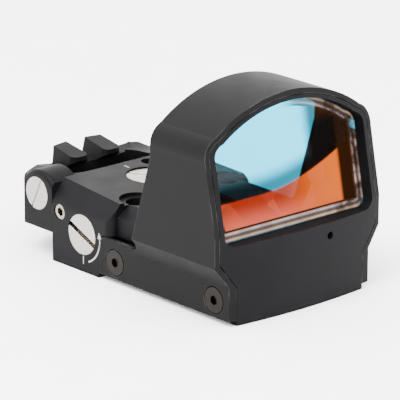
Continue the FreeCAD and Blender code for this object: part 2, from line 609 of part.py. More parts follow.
def bottom_plate():
    """The thin plate under the housing that closes its hollows and rests on the mount."""
    body = new_body("bottom_plate")
    plan = sketch_on(body, "XY_Plane", "plate_plan")
    corner = [("inset_x", "flange_rear_y+gap"), ("side_x", "flange_rear_y+gap"), ("side_x", "rear_y")]
    outline(plan, [("inset_x", "front_inset_y", "0", "front_mid_y")] + corner + mirrored(corner)[3:]
            + [("-inset_x", "front_inset_y")])
    pad(body, plan, "plate_t")
    round_hole(body, "XY_Plane", "cap_opening", "0", [("0", "cell_y")], "cap_bore_r", "1")
    round_hole(body, "XY_Plane", "plate_mount_holes", "0",
               [("mount_x", "mount_y"), ("-mount_x", "mount_y")], "mount_r", "1")
    round_hole(body, "XY_Plane", "plate_through", "0", plate_screw_spots(), "plate_screw_r+0.1", "1")
    round_hole(body, "XY_Plane", "plate_head_seats", "0", plate_screw_spots(), "plate_screw_head_r+0.06",
               "plate_t-0.18")


# ---------------------------------------------------------------- objective

def raked_slab(body, front_y, back_y):
    """A slab parallel to the raked window seat."""
    sketch = sketch_on(body, "XY_Plane", "slab", "seat_z")
    rectangle(sketch, "-front_half", "front_half", front_y, back_y)
    pad(body, sketch, "wall_top_z-seat_z", rake=True)


def objective_lens():
    body = new_body("objective_lens")
    raked_slab(body, "seat_y-gasket_t-lens_t", "seat_y-gasket_t")
    keep_inside(body, "lens_outline", window_profile("lens_play"))


def lens_gasket():
    """The thin ring of sealant between the objective and the lip."""
    body = new_body("lens_gasket")
    raked_slab(body, "seat_y-gasket_t", "seat_y")
    keep_inside(body, "gasket_outline", window_profile("lens_play"))
    open_window(body, "gasket_window", "lip_in")


# ---------------------------------------------------------------- turned and small parts

def primitive(kind, name, sizes, x="0", y="0", z="0", rotation=UPRIGHT):
    """A Part primitive with its sizes and place bound to the sheet."""
    thing = DOC.addObject(kind, name)
    for prop, text in sizes.items():
        bind(thing, prop, text)
    place(thing, x, y, z, rotation)
    return thing


def place(thing, x, y, z, rotation=UPRIGHT):
    thing.Placement = Placement(Vector(measure(x), measure(y), measure(z)), rotation)
    for axis, text in zip("xyz", (x, y, z)):
        bind(thing, f"Placement.Base.{axis}", text)


def block(name, x1, x2, y1, y2, z1, z2):
    """A box between six planes."""
    sizes = {"Length": f"{x2} - ({x1})", "Width": f"{y2} - ({y1})", "Height": f"{z2} - ({z1})"}
    return primitive("Part::Box", name, sizes, x1, y1, z1)


def rod(name, radius, length, x="0", y="0", z="0", rotation=UPRIGHT):
    return primitive("Part::Cylinder", name, {"Radius": radius, "Height": length}, x, y, z, rotation)


def join(name, pieces):
    thing = DOC.addObject("Part::MultiFuse", name)
    thing.Shapes = pieces
    return thing


def less(name, base, *tools):
    """The base with every tool taken from it."""
    tool = tools[0] if len(tools) == 1 else join(name + "_tools", list(tools))
    thing = DOC.addObject("Part::Cut", name)
    thing.Base = base
    thing.Tool = tool
    return thing


def node(thing, name):
    """Make an object one of the sight's nodes."""
    thing.Label = name
    NODES.append(thing)


def group(name, pieces):
    thing = DOC.addObject("Part::Compound", name)
    thing.Links = pieces
    node(thing, name)


def turned(name, steps, drive, size, depth):
    """A turned piece from its outer face at Z = 0 down, with a slot or hexagon cut in that face."""
    rods = [rod(f"{name}_step{index}", radius, f"{end} - ({start})", z=negate(end))
            for index, (radius, start, end) in enumerate(steps)]
    blank = rods[0] if len(rods) == 1 else join(name + "_blank", rods)
    if drive == "slot":
        reach = steps[0][0] + "+1"
        tool = block(name + "_slot", negate(reach), reach, "-" + size, size, negate(depth), "1")
    else:
        tool = primitive("Part::Prism", name + "_socket", {"Circumradius": size, "Height": depth + "+1"},
                         z=negate(depth))
    return less(name, blank, tool)


def hood_screws():
    """Four flat-head screws that hold the hood's flanges."""
    pieces = []
    for y in ("screw_rear_y", "screw_front_y"):
        for sign, rotation in (("", ALONG_X), ("-", AGAINST_X)):
            steps = [("hood_screw_head_r", "0", "flange_x-hood_screw_seat_x-0.04"),
                     ("hood_screw_r", "flange_x-hood_screw_seat_x-0.04", "flange_x-hood_screw_tip_x")]
            screw = turned(f"hood_screw{len(pieces)}", steps, "hexagon", "0.75", "0.6")
            place(screw, sign + "flange_x", y, "screw_z", rotation)
            pieces.append(screw)
    group("hood_screws", pieces)


def rear_sight_screws():
    """The cross screws in the housing's lugs: one with a slotted head, the other a grub screw."""
    steps = [("pivot_head_r", "0", "pivot_head"), ("pivot_r", "pivot_head", "side_x-pivot_tip_x")]
    headed = turned("rear_sight_screw", steps, "slot", "0.14", "0.2")
    place(headed, "-side_x", "lug_end_y", "pivot_z", CROSS_TURN)
    grub = turned("rear_sight_grub", [("pivot_r", "0", "grub_x-pivot_tip_x")], "hexagon", "0.45", "0.9")
    place(grub, "grub_x", "lug_end_y", "pivot_z", ALONG_X)
    group("rear_sight_screws", [headed, grub])


def plate_screws():
    pieces = []
    for x, y in plate_screw_spots():
        steps = [("plate_screw_head_r", "0", "plate_t-0.22"),
                 ("plate_screw_r", "plate_t-0.22", "plate_screw_tip_z")]
        screw = turned(f"plate_screw{len(pieces)}", steps, "hexagon", "0.5", "0.3")
        place(screw, x, y, "0.03", DOWNWARD)
        pieces.append(screw)
    group("plate_screws", pieces)


def windage_parts():
    """The windage screw, its clip, the nut that it drives along X, and its lock screw."""
    clip_x = "room_x1+clip_gap"
    neck_end = "side_x+room_x1+clip_gap+clip_t+0.05"
    steps = [("adjuster_r", "0", "adjuster_head"), ("neck_r", "adjuster_head", neck_end),
             ("stem_r", neck_end, "side_x-windage_tip_x")]
    screw = turned("windage_screw", steps, "slot", "0.42", "1.2")
    place(screw, "-side_x", "windage_y", "windage_z", WINDAGE_TURN)
    node(screw, "windage_screw")
    ring = rod("windage_ring", "clip_r", "clip_t", clip_x, "windage_y", "windage_z", ALONG_X)
    hole = rod("windage_ring_hole", "neck_r", "clip_t+2", clip_x + "-1", "windage_y", "windage_z", ALONG_X)
    node(less("windage_clip", ring, hole), "windage_clip")
    nut = block("windage_nut_block", "nut_x1", "nut_x2", "nut_y1", "nut_y2", "nut_z1", "nut_z2")
    key = block("windage_key", "key_x1", "key_x2", "key_y", "nut_y1+0.5", "nut_z1+0.3", "nut_z2-0.2")
    bore = rod("windage_nut_bore", "stem_bore_r", "6", "nut_x1-2", "windage_y", "windage_z", ALONG_X)
    node(less("windage_nut", join("windage_nut_blank", [nut, key]), bore), "windage_nut")
    lock = turned("windage_lock_screw", [("lock_r", "0", "lock_len")], "hexagon", "0.72", "1.4")
    place(lock, "-side_x+0.15", "lock_y", "lock_z", AGAINST_X)
    node(lock, "windage_lock_screw")


def elevation_parts():
    """The elevation screw, its clip, the carriage that it drives along Z, and its lock screw."""
    clip_top = "room_top_z-clip_gap"
    neck_end = "elevation_top_z-room_top_z+clip_gap+clip_t+0.05"
    steps = [("elevation_r", "0", "elevation_head"), ("neck_r", "elevation_head", neck_end),
             ("stem_r", neck_end, "elevation_top_z-elevation_tip_z")]
    screw = turned("elevation_screw", steps, "slot", "0.25", "0.6")
    place(screw, "0", "elevation_y", "elevation_top_z", ELEVATION_TURN)
    node(screw, "elevation_screw")
    ring = rod("elevation_ring", "clip_r", "clip_t", "0", "elevation_y", clip_top + "-clip_t")
    hole = rod("elevation_ring_hole", "neck_r", "clip_t+2", "0", "elevation_y", clip_top + "-clip_t-1")
    node(less("elevation_clip", ring, hole), "elevation_clip")
    core = block("carriage_core", "-carriage_x", "carriage_x", "carriage_y1", "carriage_y2",
                 "carriage_z1", "carriage_z2")
    rail = block("carriage_rail", "-carriage_x", "carriage_x", "rail_y", "carriage_y1+1", "rail_z1",
                 "rail_z2")
    bores = [rod("carriage_bore", "stem_bore_r", "9", "0", "elevation_y", "1")]
    bores += [rod("carriage_pin_bore" + side, "pin_bore_r", "9", sign + "pin_x", "pin_y", "1")
              for side, sign in (("1", ""), ("2", "-"))]
    carriage = less("elevation_carriage", join("carriage_blank", [core, rail]), *bores)
    node(carriage, "elevation_carriage")
    lock = turned("elevation_lock_screw", [("lock_r", "0", "lock_len")], "hexagon", "0.72", "1.4")
    place(lock, "top_lock_x", "top_lock_y", "top_lock_z")
    node(lock, "elevation_lock_screw")


def guide_pins():
    """Two pins from the cover to the room's ceiling that keep the carriage square."""
    pieces = [rod("guide_pin" + side, "pin_r", "room_top_z-room_floor_z", sign + "pin_x", "pin_y",
                  "room_floor_z")
              for side, sign in (("1", ""), ("2", "-"))]
    group("guide_pins", pieces)


def elevation_spring():
    """The coil between the cover and the carriage that takes the play out of the elevation thread."""
    body = new_body("elevation_spring")
    sketch = sketch_on(body, "XZ_Plane", "wire")
    circle(sketch, "spring_r", "0", "spring_wire_r")
    coil = body.newObject("PartDesign::AdditiveHelix", "coil")
    coil.Profile = sketch
    coil.ReferenceAxis = (sketch, ["V_Axis"])
    coil.Mode = 0
    coil.Pitch = measure("spring_pitch")
    bind(coil, "Pitch", "spring_pitch")
    coil.Height = measure("spring_pitch") * 4
    bind(coil, "Height", "spring_pitch+spring_pitch+spring_pitch+spring_pitch")
    place(body, "0", "elevation_y", "room_floor_z+spring_wire_r+0.02")


def emitter_parts():
    """The holder that slides along the carriage's rail, with the emitter and its pinhole mask."""
    blank = block("holder_blank", "holder_x1", "holder_x2", "holder_y1", "holder_y2", "holder_z1",
                  "holder_z2")
    rail = block("holder_rail_way", "holder_x1-1", "holder_x2+1", "rail_y-slide_play", "holder_y2+1",
                 "rail_z1-slide_play", "rail_z2+slide_play")
    key = block("holder_key_way", "key_x1-slide_play", "key_x2+slide_play", "key_y-slide_play",
                "holder_y2+1", "holder_z1-1", "holder_z2+1")
    node(less("emitter_holder", blank, rail, key), "emitter_holder")
    node(block("led_emitter", "-led_x", "led_x", "led_y1", "holder_y1", "led_z1", "led_z2"),
         "led_emitter")
    plate = block("mask_plate", "-led_x", "led_x", "led_y1-mask_t", "led_y1", "led_z1", "led_z2")
    hole = rod("mask_hole", "mask_hole_r", "1", "0", "led_y1+0.5", "led_z1+0.45",
               Rotation(Vector(0, 0, 1), Vector(0, -1, 0)))
    node(less("led_mask", plate, hole), "led_mask")
    node(block("emitter_window", "-notch_x+0.04", "notch_x-0.04", "glass_y", "glass_y+glass_t",
               "notch_z", "glass_top_z"), "emitter_window")


def battery_parts():
    """The coin cell, its screw-in cap with a coin slot, the cap's seal and the two contacts."""
    can = rod("cell_can", "cell_r", "cell_t-0.3", "0", "cell_y", "cell_low_z")
    lid = rod("cell_lid", "cell_r-1.4", "0.4", "0", "cell_y", "cell_low_z+cell_t-0.4")
    node(join("coin_cell", [can, lid]), "coin_cell")
    disc = rod("cap_disc", "cap_r", "cap_t", "0", "cell_y", "0")
    slot = block("cap_slot", "-cap_slot_l", "cap_slot_l", "cell_y-cap_slot_w", "cell_y+cap_slot_w",
                 "-1", "cap_slot_t")
    node(less("battery_cap", disc, slot), "battery_cap")
    ring = rod("seal_disc", "cap_r-0.03", "cap_seat_z-cap_t-0.04", "0", "cell_y", "cap_t+0.02")
    hole = rod("seal_hole", "seal_in_r", "2", "0", "cell_y", "cap_t-0.5")
    node(less("battery_cap_seal", ring, hole), "battery_cap_seal")
    node(rod("negative_contact", "2.6", "bay_top_z-cell_low_z-cell_t-0.04", "0", "cell_y",
             "cell_low_z+cell_t+0.02"), "negative_contact")
    node(block("positive_contact", "-1.3", "1.3", "cell_y+cell_r+0.02", "board_y1-0.1", "cap_seat_z+0.2",
               "cap_seat_z+0.7"), "positive_contact")


def electronics():
    """The circuit board with its chip, the cover under the mechanism and the light sensor."""
    node(block("circuit_board", "-board_x+0.1", "board_x-0.1", "board_y1+0.1", "board_y2-0.1",
               "board_low_z", "board_low_z+board_t"), "circuit_board")
    node(block("controller_chip", "-6.5", "-3.5", "9.4", "12.4", "board_low_z+board_t",
               "board_low_z+board_t+0.25"), "controller_chip")
    node(block("mechanism_cover", "-board_x+0.05", "board_x-0.05", "board_y1+0.05", "board_y2-0.05",
               "room_floor_z-cover_t", "room_floor_z"), "mechanism_cover")
    node(rod("light_sensor", "sensor_r-0.05", "1.6", "sensor_x", "sensor_y2", "sensor_z",
             Rotation(Vector(0, 0, 1), Vector(0, -1, 0))), "light_sensor")


def check_document():
    """Stop if any object failed or any node has no valid shape."""
    DOC.recompute()
    for thing in DOC.Objects:
        if "Invalid" in thing.State or "Error" in thing.State:
            raise RuntimeError(f"{thing.Name} failed: {thing.State}")
    for thing in NODES:
        if thing.Shape.isNull() or not thing.Shape.isValid():
            raise RuntimeError(f"{thing.Label} has no valid shape")


def write_nodes():
    os.makedirs("parts", exist_ok=True)
    for thing in NODES:
        thing.Shape.exportStep(f"parts/{thing.Label}.step")
        box = thing.Shape.BoundBox
        print(f"{thing.Label:22s} {len(thing.Shape.Solids)} solids {thing.Shape.Volume:9.2f} mm3 "
              f"x {box.XMin:7.2f} {box.XMax:7.2f}  y {box.YMin:7.2f} {box.YMax:7.2f}  "
              f"z {box.ZMin:6.2f} {box.ZMax:6.2f}")


def main():
    fill_sheet()
    for build in (base_housing, hood_shroud, rear_sight_block, bottom_plate, objective_lens, lens_gasket,
                  hood_screws, rear_sight_screws, plate_screws, windage_parts, elevation_parts,
                  guide_pins, elevation_spring, emitter_parts, battery_parts, electronics):
        build()
    check_document()
    write_nodes()


main()
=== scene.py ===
# %% [markdown]
# A compact open reflex sight, dressed for a studio render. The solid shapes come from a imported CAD
# frame, in metres, and this script adds finishes, the coated glass, painted marks, light and a camera.
# Each cell below says what the real thing is, how it could be made, and why this way was chosen.

# %% Load the frame
import math
import bmesh
import bpy
from mathutils import Matrix, Vector


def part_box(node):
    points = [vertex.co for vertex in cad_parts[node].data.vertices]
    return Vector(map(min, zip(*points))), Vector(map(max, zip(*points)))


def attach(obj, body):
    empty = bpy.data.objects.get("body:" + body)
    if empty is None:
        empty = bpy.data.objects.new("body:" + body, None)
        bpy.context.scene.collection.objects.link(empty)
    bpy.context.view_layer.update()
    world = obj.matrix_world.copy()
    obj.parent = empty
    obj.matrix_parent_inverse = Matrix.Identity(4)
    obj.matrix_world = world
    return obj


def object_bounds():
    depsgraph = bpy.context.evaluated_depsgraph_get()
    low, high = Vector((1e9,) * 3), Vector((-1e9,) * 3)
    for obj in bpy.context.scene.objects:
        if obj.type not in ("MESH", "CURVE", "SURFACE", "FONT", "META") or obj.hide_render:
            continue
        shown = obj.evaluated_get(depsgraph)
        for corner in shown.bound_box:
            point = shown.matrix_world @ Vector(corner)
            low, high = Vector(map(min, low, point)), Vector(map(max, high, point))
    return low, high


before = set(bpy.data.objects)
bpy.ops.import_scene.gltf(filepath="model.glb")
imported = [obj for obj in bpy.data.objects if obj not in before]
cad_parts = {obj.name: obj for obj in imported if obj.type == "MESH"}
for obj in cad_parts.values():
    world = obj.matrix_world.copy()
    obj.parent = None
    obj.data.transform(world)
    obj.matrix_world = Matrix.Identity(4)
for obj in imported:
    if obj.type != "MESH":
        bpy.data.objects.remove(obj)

MM = 0.001
cad_low, cad_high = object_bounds()
print("nodes", len(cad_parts), "box in mm", [round(v / MM, 2) for v in cad_high - cad_low])

# %% [markdown]
# Every finish is made of nodes. A small helper adds a node, fills its sockets and links what is given,
# so that the cells about finishes read as a list of what feeds what.

# %% Node helpers
def add_node(tree, kind, values=None, **settings):
    """A node with its settings and its inputs, each a plain value or another node's output."""
    node = tree.nodes.new(kind)
    for name, value in settings.items():
        setattr(node, name, value)
    for key, value in (values or {}).items():
        if isinstance(value, bpy.types.NodeSocket):
            tree.links.new(value, node.inputs[key])
        else:
            node.inputs[key].default_value = value
    return node


def math_node(tree, operation, *values):
    return add_node(tree, "ShaderNodeMath", dict(enumerate(values)), operation=operation).outputs[0]


def vector_node(tree, operation, *values, output=0):
    made = add_node(tree, "ShaderNodeVectorMath", dict(enumerate(values)), operation=operation)
    return made.outputs[output]


def ramp(tree, factor, low, high, out_low=0.0, out_high=1.0):
    """A smooth step from one value to another as the factor goes from low to high."""
    made = add_node(tree, "ShaderNodeMapRange",
                    {"Value": factor, "From Min": low, "From Max": high, "To Min": out_low,
                     "To Max": out_high}, interpolation_type="SMOOTHSTEP")
    return made.outputs["Result"]


def blend_colours(tree, factor, first, second):
    made = add_node(tree, "ShaderNodeMix", data_type="RGBA")
    for name, value in (("Factor_Float", factor), ("A_Color", first), ("B_Color", second)):
        socket = next(item for item in made.inputs if item.identifier == name)
        if isinstance(value, bpy.types.NodeSocket):
            tree.links.new(value, socket)
        else:
            socket.default_value = value
    return next(item for item in made.outputs if item.identifier == "Result_Color")


def noise(tree, vector, scale, detail=2.0, roughness=0.5):
    made = add_node(tree, "ShaderNodeTexNoise",
                    {"Vector": vector, "Scale": scale, "Detail": detail, "Roughness": roughness})
    return made.outputs["Fac"]


def new_group(name, inputs, outputs):
    """A shader node group with named sockets, and its two end nodes."""
    group = bpy.data.node_groups.new(name, "ShaderNodeTree")
    for socket, kind, value in inputs:
        made = group.interface.new_socket(name=socket, in_out="INPUT", socket_type=kind)
        if value is not None:
            made.default_value = value
    for socket, kind in outputs:
        group.interface.new_socket(name=socket, in_out="OUTPUT", socket_type=kind)
    return group, group.nodes.new("NodeGroupInput").outputs, group.nodes.new("NodeGroupOutput").inputs


def group_node(tree, group, values):
    node = tree.nodes.new("ShaderNodeGroup")
    node.node_tree = group
    for key, value in values.items():
        if isinstance(value, bpy.types.NodeSocket):
            tree.links.new(value, node.inputs[key])
        else:
            node.inputs[key].default_value = value
    return node.outputs


print("node helpers ready")

# %% [markdown]
# Anodised aluminium is blasted before it is dyed, which leaves a fine, even grain, with the faintest
# clouds where the dye took differently. One group makes both, as a height for the bump and a tone for
# the colour and the roughness. The moulded and plated parts use it too, with a coarser grain.

# %% Blasted grain group
GRAIN, grain_in, grain_out = new_group(
    "blasted_grain",
    [("Vector", "NodeSocketVector", None), ("Grain Scale", "NodeSocketFloat", 9000.0),
     ("Cloud Scale", "NodeSocketFloat", 140.0)],
    [("Height", "NodeSocketFloat"), ("Tone", "NodeSocketFloat")])
fine = noise(GRAIN, grain_in["Vector"], grain_in["Grain Scale"], 3.0, 0.6)
clouds = noise(GRAIN, grain_in["Vector"], grain_in["Cloud Scale"], 4.0, 0.55)
GRAIN.links.new(fine, grain_out["Height"])
GRAIN.links.new(math_node(GRAIN, "ADD", math_node(GRAIN, "MULTIPLY", fine, 0.45),
                          math_node(GRAIN, "MULTIPLY", clouds, 0.55)), grain_out["Tone"])
print(GRAIN.name, len(GRAIN.nodes), "nodes")

# %% [markdown]
# Handling rubs the dye from sharp edges first. The rounded normal of a Bevel node differs from the
# face's own normal only near an edge, so their difference is an edge mask that needs no painted map.
# Noise breaks it up, because real wear comes in patches.

# %% Edge wear group
WEAR, wear_in, wear_out = new_group(
    "edge_wear",
    [("Vector", "NodeSocketVector", None), ("Width", "NodeSocketFloat", 0.00012),
     ("Patch Scale", "NodeSocketFloat", 260.0), ("Amount", "NodeSocketFloat", 0.5)],
    [("Wear", "NodeSocketFloat"), ("Normal", "NodeSocketVector")])
rounded = add_node(WEAR, "ShaderNodeBevel", {"Radius": wear_in["Width"]}, samples=6).outputs[0]
plain = add_node(WEAR, "ShaderNodeNewGeometry").outputs["Normal"]
turned_away = math_node(WEAR, "SUBTRACT", 1.0,
                        vector_node(WEAR, "DOT_PRODUCT", rounded, plain, output="Value"))
edge = ramp(WEAR, turned_away, 0.02, 0.25)
patches = ramp(WEAR, noise(WEAR, wear_in["Vector"], wear_in["Patch Scale"], 3.0, 0.65), 0.42, 0.66)
WEAR.links.new(math_node(WEAR, "MULTIPLY", math_node(WEAR, "MULTIPLY", edge, patches),
                         wear_in["Amount"]), wear_out["Wear"])
WEAR.links.new(rounded, wear_out["Normal"])
print(WEAR.name, len(WEAR.nodes), "nodes")

# %% [markdown]
# A turned screw head carries fine circles around its own axis from the lathe tool. The group takes the
# place of that axis and gives rings of height by distance from it.

# %% Turned rings group
RINGS, rings_in, rings_out = new_group(
    "turned_rings",
    [("Vector", "NodeSocketVector", None), ("Centre", "NodeSocketVector", None),
     ("Across", "NodeSocketVector", None), ("Ring Scale", "NodeSocketFloat", 5200.0)],
    [("Height", "NodeSocketFloat"), ("Tone", "NodeSocketFloat")])
offset = vector_node(RINGS, "SUBTRACT", rings_in["Vector"], rings_in["Centre"])
flat = vector_node(RINGS, "MULTIPLY", offset, rings_in["Across"])
reach = vector_node(RINGS, "LENGTH", flat, output="Value")
circles = noise(RINGS, add_node(RINGS, "ShaderNodeCombineXYZ", {"X": reach}).outputs[0],
                rings_in["Ring Scale"], 2.0, 0.7)
smudge = noise(RINGS, rings_in["Vector"], 900.0, 3.0, 0.6)
RINGS.links.new(circles, rings_out["Height"])
RINGS.links.new(math_node(RINGS, "ADD", math_node(RINGS, "MULTIPLY", circles, 0.5),
                          math_node(RINGS, "MULTIPLY", smudge, 0.5)), rings_out["Tone"])
print(RINGS.name, len(RINGS.nodes), "nodes")

# %% [markdown]
# A finish starts from a Principled shader with object coordinates at hand. The constants go on the
# shader's own sockets, and only what varies comes through nodes. Blasted and dyed metal hardly mirrors
# anything, so its sheen is far below that of a smooth coat.

# %% Start a material
def new_material(name, **sockets):
    material = bpy.data.materials.new(name)
    material.use_nodes = True
    tree = material.node_tree
    shader = tree.nodes["Principled BSDF"]
    for key, value in sockets.items():
        shader.inputs[key.replace("_", " ")].default_value = value
    coordinates = add_node(tree, "ShaderNodeTexCoord").outputs["Object"]
    return material, tree, shader, coordinates


def bump(tree, shader, height, strength, distance, normal=None):
    values = {"Strength": strength, "Distance": distance, "Height": height}
    if normal is not None:
        values["Normal"] = normal
    made = add_node(tree, "ShaderNodeBump", values)
    tree.links.new(made.outputs["Normal"], shader.inputs["Normal"])


SHEEN = 0.04


def anodised(name, dark, light, bare, wear, rough=(0.42, 0.56), width=0.00012):
    """Dyed, blasted aluminium: dark dye with soft clouds, worn towards bare metal along edges."""
    material, tree, shader, coordinates = new_material(name, Metallic=0.0, Specular_IOR_Level=SHEEN)
    grain = group_node(tree, GRAIN, {"Vector": coordinates})
    worn = group_node(tree, WEAR, {"Vector": coordinates, "Amount": wear, "Width": width})
    dye = blend_colours(tree, ramp(tree, grain["Tone"], 0.38, 0.62), (*dark, 1), (*light, 1))
    tree.links.new(blend_colours(tree, worn["Wear"], dye, (*bare, 1)), shader.inputs["Base Color"])
    tree.links.new(ramp(tree, grain["Tone"], 0.35, 0.65, *rough), shader.inputs["Roughness"])
    bump(tree, shader, grain["Height"], 0.3, 0.00004, worn["Normal"])
    return material


STRAW_EDGE = (0.3, 0.2, 0.07, 1)


def turned_metal(name, tone, shade, centre, across, rough=(0.2, 0.34), wear=0.8):
    """A polished turned head, slightly yellow at its edges."""
    material, tree, shader, coordinates = new_material(name, Metallic=1.0)
    rings = group_node(tree, RINGS, {"Vector": coordinates, "Centre": centre, "Across": across})
    worn = group_node(tree, WEAR, {"Vector": coordinates, "Amount": wear, "Width": 0.0003})
    metal = blend_colours(tree, rings["Tone"], (*shade, 1), (*tone, 1))
    tree.links.new(blend_colours(tree, worn["Wear"], metal, STRAW_EDGE),
                   shader.inputs["Base Color"])
    tree.links.new(ramp(tree, rings["Tone"], 0.35, 0.65, *rough), shader.inputs["Roughness"])
    bump(tree, shader, rings["Height"], 0.12, 0.00002, worn["Normal"])
    return material


def moulded(name, dark, light, rough, metallic=0.0, scale=2400.0, strength=0.08):
    """A plain finish with a fine texture, for plastic, rubber, paint and plated or blackened metal."""
    material, tree, shader, coordinates = new_material(name, Metallic=metallic)
    grain = group_node(tree, GRAIN, {"Vector": coordinates, "Grain Scale": scale})
    tree.links.new(blend_colours(tree, ramp(tree, grain["Tone"], 0.35, 0.65), (*dark, 1), (*light, 1)),
                   shader.inputs["Base Color"])
    tree.links.new(ramp(tree, grain["Tone"], 0.35, 0.65, *rough), shader.inputs["Roughness"])
    bump(tree, shader, grain["Height"], strength, 0.00003)
    return material


print("finish recipes ready")

# %% [markdown]
# The sight's body parts share one dye. The hood on top is given the lightest tone, as painted light, and
# shows the most wear, and the plate underneath is given the darkest tone, as painted shade. The grain
# and the clouds are the same for all.

# %% Body finishes
HOUSING = anodised("housing_anodised", (0.0026, 0.0025, 0.0030), (0.0040, 0.0037, 0.0042),
                   (0.05, 0.047, 0.045), 0.5)
# The hood's lighter tone is painted light on the top of the sight.
HOOD_PAINTED_LIGHT = anodised("hood_anodised_painted_light", (0.0029, 0.0027, 0.0030), (0.0046, 0.0043, 0.0044),
                (0.13, 0.125, 0.12), 0.8)
REAR = anodised("rear_anodised", (0.0024, 0.0023, 0.0027), (0.0038, 0.0036, 0.0040),
                (0.05, 0.047, 0.045), 0.3)
# The plate's darker tone is painted shade under the sight.
PLATE_PAINTED_SHADE = anodised("plate_anodised_painted_shade", (0.0023, 0.0022, 0.0025), (0.0036, 0.0034, 0.0037),
                 (0.04, 0.038, 0.038), 0.25)
print("body finishes", [item.name for item in (HOUSING, HOOD_PAINTED_LIGHT, REAR, PLATE_PAINTED_SHADE)])

# %% [markdown]
# The adjusters and cross screws are polished steel, so each gets rings round its own axis. Its middle
# comes from the node's box, and the multiplier leaves out the direction that the screw points in.

# %% Screw finishes
def middle(node):
    low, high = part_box(node)
    return (Vector(low) + Vector(high)) / 2


ACROSS_X = (0, 1, 1)
ACROSS_Z = (1, 1, 0)
WINDAGE = turned_metal("windage_steel", (0.36, 0.335, 0.31), (0.25, 0.23, 0.205),
                       middle("windage_screw"), ACROSS_X)
ELEVATION = turned_metal("elevation_steel", (0.36, 0.33, 0.30), (0.25, 0.225, 0.19),
                         middle("elevation_screw"), ACROSS_Z)
CROSS = turned_metal("cross_screw_steel", (0.33, 0.315, 0.305), (0.22, 0.21, 0.20),
                     middle("rear_sight_screws"), ACROSS_X, (0.22, 0.36))
LOCK = turned_metal("lock_steel", (0.28, 0.26, 0.23), (0.12, 0.11, 0.09),
                    middle("windage_lock_screw"), ACROSS_X)
BLACK_OXIDE = moulded("black_oxide", (0.006, 0.005, 0.0043), (0.012, 0.0098, 0.0083),
                      (0.35, 0.5), 1.0)
print("screw finishes ready")

# %% [markdown]
# Inside parts are seldom seen, but they show in an exploded view, so they get honest finishes too:
# brass slides, drawn steel, plated contacts, green laminate, moulded plastic and rubber.

# %% Inside finishes
BRASS = moulded("slide_brass", (0.55, 0.38, 0.14), (0.72, 0.52, 0.22), (0.25, 0.4), 1.0)
WIRE = moulded("drawn_steel", (0.42, 0.42, 0.43), (0.6, 0.6, 0.6), (0.2, 0.34), 1.0)
NICKEL = moulded("cell_nickel", (0.62, 0.61, 0.58), (0.78, 0.77, 0.74), (0.18, 0.3), 1.0)
GOLD = moulded("contact_gold", (0.72, 0.5, 0.18), (0.85, 0.64, 0.28), (0.2, 0.32), 1.0)
BOARD = moulded("board_green", (0.008, 0.05, 0.022), (0.02, 0.09, 0.04), (0.3, 0.42))
CHIP = moulded("chip_black", (0.012, 0.012, 0.013), (0.024, 0.024, 0.025), (0.5, 0.65))
RUBBER = moulded("seal_rubber", (0.01, 0.01, 0.01), (0.022, 0.021, 0.02), (0.6, 0.75))
EMITTER = moulded("emitter_plastic", (0.5, 0.06, 0.04), (0.7, 0.12, 0.08), (0.1, 0.18))
SENSOR = moulded("sensor_window", (0.006, 0.006, 0.007), (0.012, 0.012, 0.014), (0.12, 0.2))
print("inside finishes ready")

# %% [markdown]
# The objective is a thick slab of glass. What it lets through is cyan, because the coating on it sends
# the red back. The glass itself is a transmitting shader with a faint variation in its tint. Its index
# is lower than that of real glass, so that the white sky doesn't lay a grey veil over the tint.

# %% Glass
GLASS_INDEX = 1.25


def glass(name, tint_a, tint_b):
    material, tree, shader, coordinates = new_material(
        name, Roughness=0.0, IOR=GLASS_INDEX, Transmission_Weight=1.0, Metallic=0.0)
    haze = noise(tree, coordinates, 60.0, 2.0)
    tree.links.new(blend_colours(tree, haze, (*tint_a, 1), (*tint_b, 1)), shader.inputs["Base Color"])
    return material


OBJECTIVE = glass("objective_glass", (0.001, 0.34, 0.52), (0.004, 0.42, 0.60))
CLEAR = glass("window_glass", (0.95, 0.97, 0.97), (1, 1, 1))
print("glass ready")

# %% [markdown]
# The finishes go on the CAD nodes through their material slots. The node's shape stays untouched.

# %% Dress the CAD nodes
FINISHES = {
    "base_housing": HOUSING, "hood_shroud": HOOD_PAINTED_LIGHT, "rear_sight_block": REAR, "bottom_plate": PLATE_PAINTED_SHADE,
    "objective_lens": OBJECTIVE, "lens_gasket": RUBBER, "hood_screws": BLACK_OXIDE,
    "rear_sight_screws": CROSS, "plate_screws": BLACK_OXIDE, "windage_screw": WINDAGE,
    "windage_clip": WIRE, "windage_nut": BRASS, "windage_lock_screw": LOCK,
    "elevation_screw": ELEVATION, "elevation_clip": WIRE, "elevation_carriage": BRASS,
    "elevation_lock_screw": BLACK_OXIDE, "guide_pins": WIRE, "elevation_spring": WIRE,
    "emitter_holder": BRASS, "led_emitter": EMITTER, "led_mask": CHIP, "emitter_window": CLEAR,
    "coin_cell": NICKEL, "battery_cap": PLATE_PAINTED_SHADE, "battery_cap_seal": RUBBER, "negative_contact": GOLD,
    "positive_contact": GOLD, "circuit_board": BOARD, "controller_chip": CHIP,
    "mechanism_cover": PLATE_PAINTED_SHADE, "light_sensor": SENSOR,
}
for name, material in FINISHES.items():
    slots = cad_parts[name].material_slots
    for slot in slots:
        slot.material = material
print("dressed", len(FINISHES), "nodes; left", sorted(set(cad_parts) - set(FINISHES)))

# %% [markdown]
# The film on the objective needs its border first. It is the window's outline, drawn in by 0.09 mm: a
# straight foot and straight sides, joined by round corners to an arched top. Arcs through three points
# give the round stretches, so that only the points which shape the border are written down.

# %% Outline of the coating
FOOT_CORNER = ((12.82, 12.09), (13.94, 12.56), (14.41, 13.69))
TOP_CORNER = ((14.41, 24.3), (14.11, 25.51), (12.81, 26.41))
ARCH_TOP = (0.0, 30.56)
CORNER_STEPS = 8
ARCH_STEPS = 48


